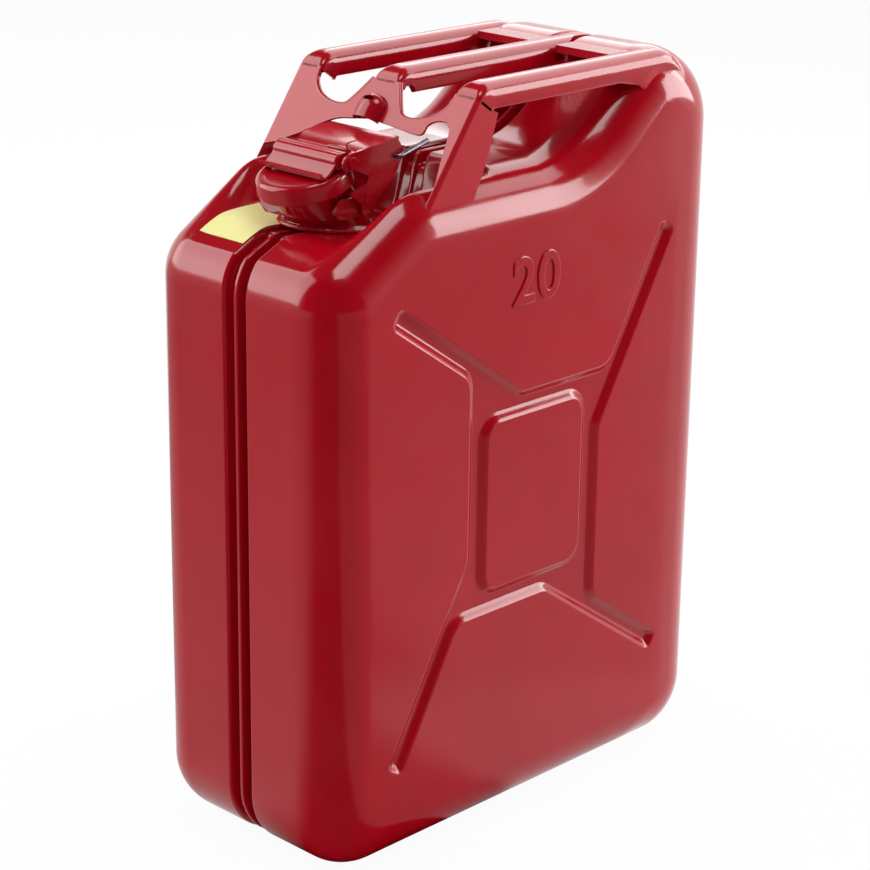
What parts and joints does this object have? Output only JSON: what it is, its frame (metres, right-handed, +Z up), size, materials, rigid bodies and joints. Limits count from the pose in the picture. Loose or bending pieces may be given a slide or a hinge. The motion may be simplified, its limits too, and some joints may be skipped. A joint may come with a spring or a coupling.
{
  "type": "jerry can",
  "caption": "Pressed steel fuel can with a triple carrying handle and a cam lever cap that is locked by a sliding pin.",
  "frame": {"origin": "centre of the base, on the surface it stands on", "axes": "+Z up, X along the length with the filler neck towards -X, Y across the width, near half towards -Y"},
  "size_m": [0.345, 0.165, 0.476],
  "materials": {
    "enamel": "glossy red enamel",
    "plain_steel": "zinc plated",
    "seal": "matt",
    "label": "blank pale yellow film"
  },
  "bodies": {
    "can": {"body_half_near": "enamel", "body_half_far": "enamel", "filler_neck": "enamel", "neck_bracket_near": "enamel", "neck_bracket_far": "enamel", "breather_tube": "plain_steel", "handle_plate_near": "enamel", "handle_plate_far": "enamel", "handle_bar_near": "enamel", "handle_bar_centre": "enamel", "handle_bar_far": "enamel", "rear_strip_near": "enamel", "rear_strip_far": "enamel", "handle_tongue": "enamel", "shoulder_label": "label"},
    "lever": {"cam_lever": "enamel", "cross_rivet": "enamel"},
    "cap": {"cap_disc": "enamel", "cap_bracket": "enamel", "cap_gasket": "seal"},
    "pin": {"locking_pin": "plain_steel"}
  },
  "joints": [
    {"name": "lever_hinge", "type": "hinge", "parent": "can", "child": "lever", "pos_m": [-0.0945, 0, 0.4075], "axis": [0, 1, 0], "range_deg": [0, 50]},
    {"name": "cap_hinge", "type": "hinge", "parent": "lever", "child": "cap", "pos_m": [-0.1065, 0, 0.4316], "axis": [0, 1, 0], "range_deg": [-7.5, 0]},
    {"name": "pin_slide", "type": "slide", "parent": "lever", "child": "pin", "axis": [0, -1, 0], "range_m": [0, 0.01]}
  ],
  "couplings": [
    {"joint": "cap_hinge", "follows": "lever_hinge", "ratio": -0.15}
  ]
}
